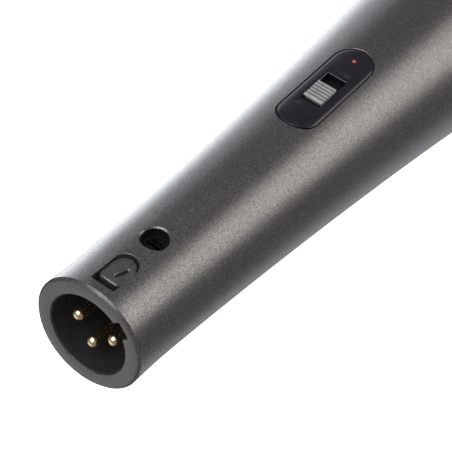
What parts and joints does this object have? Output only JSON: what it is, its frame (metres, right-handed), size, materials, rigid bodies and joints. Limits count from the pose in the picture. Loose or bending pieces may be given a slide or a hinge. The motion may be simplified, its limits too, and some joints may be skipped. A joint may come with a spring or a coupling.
{
  "type": "dynamic microphone",
  "caption": "Handheld dynamic vocal microphone with a tapered metal handle, slide switch, three-pin cable socket and screw-on ball grille.",
  "frame": {"origin": "centre of the tail face, on the microphone's axis, where the cable's connector enters", "axes": "+X along the microphone from the cable end to the grille, +Z out of the side that carries the switch"},
  "size_m": [0.1656, 0.0522, 0.0522],
  "materials": {
    "cast_metal": "satin charcoal paint with fine metallic flake over die-cast zinc",
    "black_plastic": "moulded matte black",
    "gloss_black": "moulded gloss black",
    "grey_plastic": "moulded satin grey",
    "gold_contact": "gold-plated",
    "plain_steel": "plain pressed steel",
    "dark_steel": "blackened steel",
    "mesh_steel": "woven wire, charcoal plated",
    "red_plastic": "gloss red",
    "phenolic": "brown laminate",
    "rubber": "matte",
    "red_wire": "PVC insulation",
    "black_wire": "PVC insulation",
    "magnet": "ground, nickel plated",
    "copper": "enamelled copper wire",
    "film": "clear polyester film",
    "cloth": "woven acoustic cloth",
    "foam": "open-cell foam"
  },
  "bodies": {
    "body": {"handle": "cast_metal", "xlr_insert": "black_plastic", "contact_pin_1": "gold_contact", "contact_pin_2": "gold_contact", "contact_pin_3": "gold_contact", "ground_clip": "plain_steel", "locking_screw": "dark_steel", "latch_tab": "cast_metal", "switch_plate": "gloss_black", "switch_marker": "red_plastic", "switch_can": "plain_steel", "switch_base": "phenolic", "switch_terminals": "gold_contact", "switch_screws": "plain_steel", "wire_pin_2": "red_wire", "wire_pin_3": "black_wire", "wire_capsule_hot": "red_wire", "wire_capsule_cold": "black_wire", "shock_mount": "rubber", "capsule_housing": "black_plastic", "terminal_board": "phenolic", "capsule_terminals": "gold_contact", "yoke_cup": "plain_steel", "magnet": "magnet", "pole_piece": "plain_steel", "front_plate": "plain_steel", "diaphragm_ring": "black_plastic", "resonator_cap": "black_plastic", "capsule_screen": "cloth"},
    "slider": {"switch_knob": "grey_plastic", "switch_shield": "black_plastic", "switch_carriage": "black_plastic", "switch_contact": "gold_contact"},
    "coil": {"voice_coil": "copper", "diaphragm": "film"},
    "lining": {"foam_liner": "foam"},
    "grille": {"grille_collar": "cast_metal", "grille_lower": "mesh_steel", "grille_band": "mesh_steel", "grille_upper": "mesh_steel"}
  },
  "joints": [
    {"name": "switch_slide", "type": "slide", "parent": "body", "child": "slider", "axis": [0.9973, 0, 0.0739], "range_m": [0, 0.0032]},
    {"name": "diaphragm_travel", "type": "slide", "parent": "body", "child": "coil", "axis": [1, 0, 0], "range_m": [-0.0002, 0.0002], "stiffness_N_per_m": 180},
    {"name": "grille_lift", "type": "slide", "parent": "body", "child": "lining", "axis": [1, 0, 0], "range_m": [0, 0.00401]},
    {"name": "grille_turn", "type": "hinge", "parent": "lining", "child": "grille", "pos_m": [0.114, 0, 0], "axis": [-1, 0, 0], "range_deg": [0, 1440]}
  ],
  "couplings": [
    {"joint": "grille_lift", "follows": "grille_turn", "m_per_rad": 0.00015915}
  ]
}
